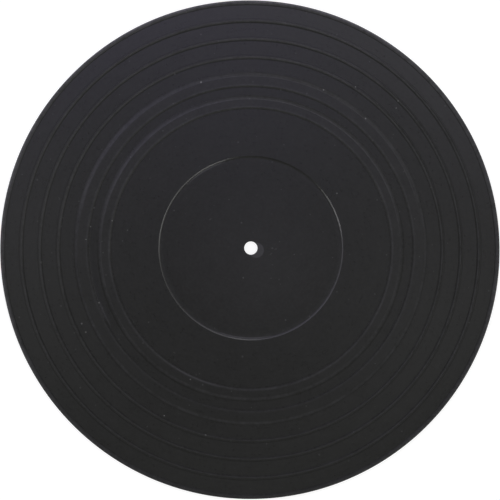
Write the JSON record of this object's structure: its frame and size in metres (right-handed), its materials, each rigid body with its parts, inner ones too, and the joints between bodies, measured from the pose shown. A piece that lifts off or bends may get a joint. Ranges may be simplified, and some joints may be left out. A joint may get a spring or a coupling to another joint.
{
  "type": "turntable mat",
  "caption": "Round moulded rubber mat for a record player's platter, with a spindle hole, a recess for a record's label, raised bands, thin ribs and a rim bead.",
  "frame": {"origin": "on the axis of the spindle hole, at the flat underside that lies on the platter", "axes": "+Z along the spindle, up towards the record; the mat is the same all round, so +X and +Y are free"},
  "size_m": [0.295, 0.295, 0.0035],
  "materials": {
    "black_rubber": "moulded matt black with a soft satin sheen, a little dust and light handling wear"
  },
  "bodies": {
    "root": {"rubber_mat": "black_rubber"}
  },
  "joints": []
}
